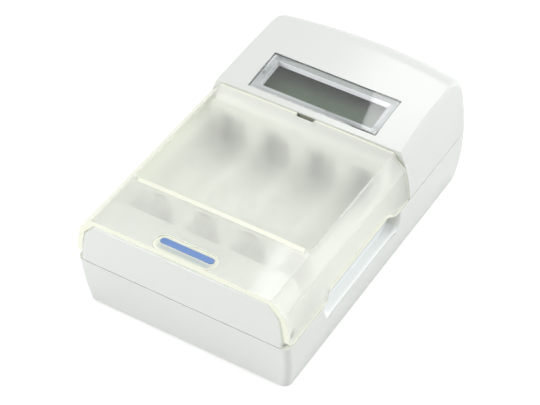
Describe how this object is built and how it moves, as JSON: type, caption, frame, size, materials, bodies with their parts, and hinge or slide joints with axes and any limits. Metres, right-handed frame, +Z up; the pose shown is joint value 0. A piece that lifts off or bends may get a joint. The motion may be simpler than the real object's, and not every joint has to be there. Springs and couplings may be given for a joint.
{
  "type": "battery charger",
  "caption": "Desktop battery charger with a hinged frosted lid over parallel cell bays, spring-loaded sliding contacts and a display window in its raised rear housing.",
  "frame": {"origin": "middle of the footprint, on the surface the rubber feet stand on", "axes": "+Y from the hinged front edge of the lid towards the display housing, +Z up, +X to the right seen from the front"},
  "size_m": [0.081, 0.1284, 0.0435],
  "materials": {
    "shell_plastic": "satin",
    "lid_plastic": "frosted, translucent",
    "inlay_blue": "gloss",
    "window_clear": "clear",
    "frame_silver": "silver paint",
    "lcd_glass": "dark glass",
    "guide_white": "gloss",
    "soft_black": "matt",
    "board_green": "solder mask",
    "part_black": "matt",
    "can_blue": "sleeve",
    "cable_grey": "matt",
    "contact_nickel": "nickel plate",
    "spring_steel": "spring wire",
    "screw_steel": "zinc plate"
  },
  "bodies": {
    "case": {"lower_shell": "shell_plastic", "upper_shell": "shell_plastic", "battery_tray": "shell_plastic", "lcd_window": "window_clear", "lcd_bezel": "frame_silver", "lcd_panel": "lcd_glass", "light_guide": "guide_white", "contact_strips": "soft_black", "display_board": "board_green", "main_board": "board_green", "microcontroller": "part_black", "capacitors": "can_blue", "inductors": "part_black", "power_transistors": "part_black", "dc_jack": "part_black", "ribbon_cable": "cable_grey", "spring_terminals": "contact_nickel", "case_screws": "screw_steel", "board_screws": "screw_steel", "rubber_feet": "soft_black", "slider_spring_1": "spring_steel", "slider_spring_2": "spring_steel", "slider_spring_3": "spring_steel", "slider_spring_4": "spring_steel", "fixed_contact_1": "contact_nickel", "fixed_contact_2": "contact_nickel", "fixed_contact_3": "contact_nickel", "fixed_contact_4": "contact_nickel"},
    "lid": {"lid": "lid_plastic", "lid_badge": "inlay_blue"},
    "contact_slide_1": {"slider_1": "shell_plastic", "slider_contact_1": "contact_nickel"},
    "contact_slide_2": {"slider_2": "shell_plastic", "slider_contact_2": "contact_nickel"},
    "contact_slide_3": {"slider_3": "shell_plastic", "slider_contact_3": "contact_nickel"},
    "contact_slide_4": {"slider_4": "shell_plastic", "slider_contact_4": "contact_nickel"}
  },
  "joints": [
    {"name": "lid_hinge", "type": "hinge", "parent": "case", "child": "lid", "pos_m": [0, -0.05995, 0.0251], "axis": [1, 0, 0], "range_deg": [0, 93]},
    {"name": "slide_1", "type": "slide", "parent": "case", "child": "contact_slide_1", "axis": [0, -1, 0], "range_m": [0, 0.0105], "stiffness_N_per_m": 120, "springref_m": -0.004, "deforming": ["slider_spring_1"]},
    {"name": "slide_2", "type": "slide", "parent": "case", "child": "contact_slide_2", "axis": [0, -1, 0], "range_m": [0, 0.0105], "stiffness_N_per_m": 120, "springref_m": -0.004, "deforming": ["slider_spring_2"]},
    {"name": "slide_3", "type": "slide", "parent": "case", "child": "contact_slide_3", "axis": [0, -1, 0], "range_m": [0, 0.0105], "stiffness_N_per_m": 120, "springref_m": -0.004, "deforming": ["slider_spring_3"]},
    {"name": "slide_4", "type": "slide", "parent": "case", "child": "contact_slide_4", "axis": [0, -1, 0], "range_m": [0, 0.0105], "stiffness_N_per_m": 120, "springref_m": -0.004, "deforming": ["slider_spring_4"]}
  ]
}
